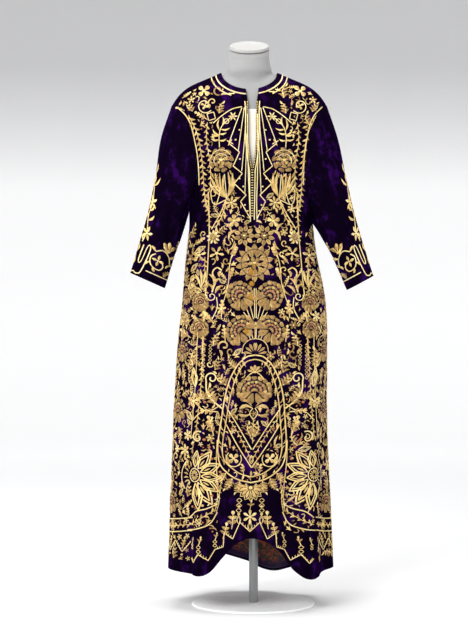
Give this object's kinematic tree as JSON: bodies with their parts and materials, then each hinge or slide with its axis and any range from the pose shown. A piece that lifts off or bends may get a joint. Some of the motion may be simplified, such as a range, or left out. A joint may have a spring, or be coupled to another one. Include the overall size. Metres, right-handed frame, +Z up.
{
  "type": "bindalli dress on a limbless dress form",
  "caption": "Long velvet dress with a front slit, long sleeves and raised gold flower embroidery, worn by a limbless dress form on a pole and base plate.",
  "frame": {"origin": "centre of the base plate's underside, on the pole's axis", "axes": "+Z up, the front faces -Y, +X to the right of someone who looks at the front"},
  "size_m": [0.681, 0.4299, 1.5829],
  "materials": {
    "velvet": "dark purple silk velvet with a soft sheen",
    "gold_thread": "couched gold metal thread",
    "lining": "printed cotton lining",
    "form_grey": "matt grey covered form",
    "form_cover": "white cotton cover",
    "form_cap": "matt off-white",
    "pole": "brushed",
    "base_plate": "satin pale grey"
  },
  "bodies": {
    "root": {"front_left": "velvet", "front_right": "velvet", "back": "velvet", "side_gore_left": "velvet", "side_gore_right": "velvet", "underarm_left": "velvet", "underarm_right": "velvet", "sleeve_left": "velvet", "sleeve_right": "velvet", "cuff_left": "velvet", "cuff_right": "velvet", "neckband": "velvet", "slit_braid_left": "gold_thread", "slit_braid_right": "gold_thread", "motif_rose_left": "gold_thread", "motif_rose_right": "gold_thread", "motif_star_left": "gold_thread", "motif_star_right": "gold_thread", "motif_double_flower": "gold_thread", "motif_peony_upper_left": "gold_thread", "motif_peony_upper_right": "gold_thread", "motif_peony_lower_left": "gold_thread", "motif_peony_lower_right": "gold_thread", "motif_peony_centre": "gold_thread", "motif_medallion": "gold_thread", "lining_back": "lining", "form_bust": "form_grey", "form_cover": "form_cover", "form_cap": "form_cap", "pole": "pole", "base_plate": "base_plate"}
  },
  "joints": []
}
